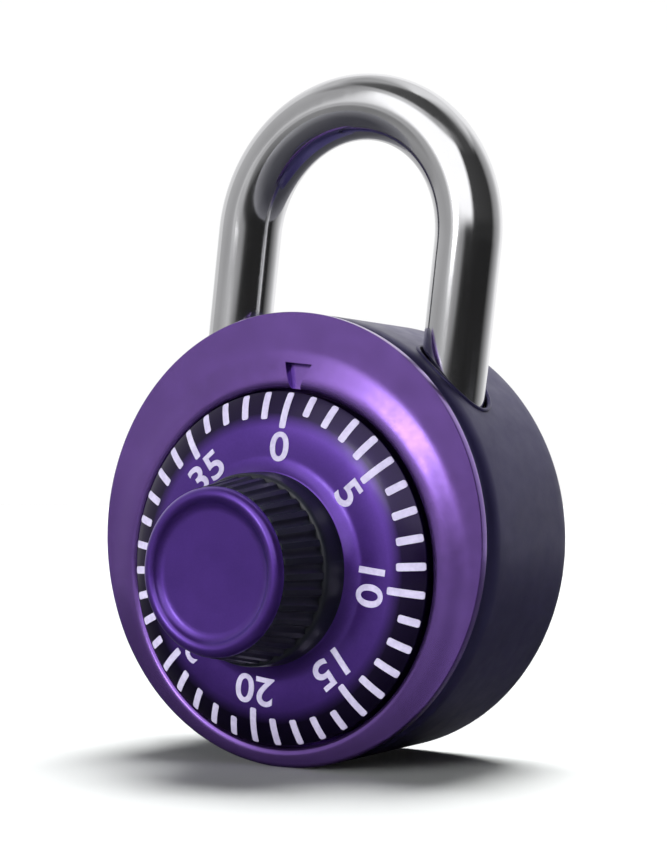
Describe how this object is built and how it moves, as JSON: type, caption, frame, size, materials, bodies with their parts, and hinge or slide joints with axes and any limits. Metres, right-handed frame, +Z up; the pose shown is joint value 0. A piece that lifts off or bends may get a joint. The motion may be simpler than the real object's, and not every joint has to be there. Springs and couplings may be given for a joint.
{
  "type": "combination padlock",
  "caption": "Round padlock with a numbered dial and a knurled knob in an offset purple cover, gated discs inside, and a plain bent steel shackle that rises when unlocked.",
  "frame": {"origin": "where the dial's axis meets the flat back face of the round body", "axes": "+Z up along the shackle, +Y out of the flat back face so that the dial faces -Y, +X to the right of a viewer who faces the dial"},
  "size_m": [0.048, 0.0317, 0.0742],
  "materials": {
    "case_finish": "dark satin coat on steel",
    "purple_anodised": "purple anodised, satin",
    "purple_dial": "purple anodised, satin",
    "black_grip": "black moulded, semi-gloss",
    "shackle_chrome": "polished",
    "plain_steel": "plain zinc plated",
    "brass_parts": "plain",
    "cast_alloy": "as cast"
  },
  "bodies": {
    "case": {"rear_case": "case_finish", "front_cover": "purple_anodised", "case_liner": "plain_steel", "base_plate": "plain_steel", "stand_posts": "plain_steel", "shackle_guide": "cast_alloy", "wheel_post": "brass_parts", "disc_spacers": "brass_parts", "friction_washer": "brass_parts", "lever_pin": "plain_steel", "lever_clip": "plain_steel", "lever_spring": "plain_steel"},
    "dial": {"dial_disc": "purple_dial", "knob_grip": "black_grip", "knob_cap": "purple_dial", "spindle": "plain_steel", "spindle_clip": "plain_steel", "drive_collar": "brass_parts"},
    "first_disc": {"disc_1": "brass_parts"},
    "second_disc": {"disc_2": "brass_parts"},
    "third_disc": {"disc_3": "brass_parts"},
    "lever": {"locking_lever": "plain_steel"},
    "shackle_bar": {"shackle": "shackle_chrome", "heel_pin": "plain_steel"}
  },
  "joints": [
    {"name": "dial_spin", "type": "hinge", "parent": "case", "child": "dial", "pos_m": [0, -0.013, 0], "axis": [0, 1, 0], "continuous": true},
    {"name": "disc_1_slip", "type": "hinge", "parent": "dial", "child": "first_disc", "pos_m": [0, -0.0098, 0], "axis": [0, 1, 0], "range_deg": [-150, 180]},
    {"name": "disc_2_slip", "type": "hinge", "parent": "first_disc", "child": "second_disc", "pos_m": [0, -0.012, 0], "axis": [0, 1, 0], "range_deg": [-330, 0]},
    {"name": "disc_3_slip", "type": "hinge", "parent": "second_disc", "child": "third_disc", "pos_m": [0, -0.0142, 0], "axis": [0, 1, 0], "range_deg": [-330, 0]},
    {"name": "shackle_lift", "type": "slide", "parent": "case", "child": "shackle_bar", "axis": [0, 0, 1], "range_m": [0, 0.0128]},
    {"name": "lever_swing", "type": "hinge", "parent": "case", "child": "lever", "pos_m": [-0.0075, -0.0115, 0.0105], "axis": [0, 1, 0], "range_deg": [0, 22.1], "deforming": ["lever_spring"]}
  ],
  "couplings": [
    {"joint": "lever_swing", "follows": "shackle_lift", "rad_per_m": 30}
  ]
}
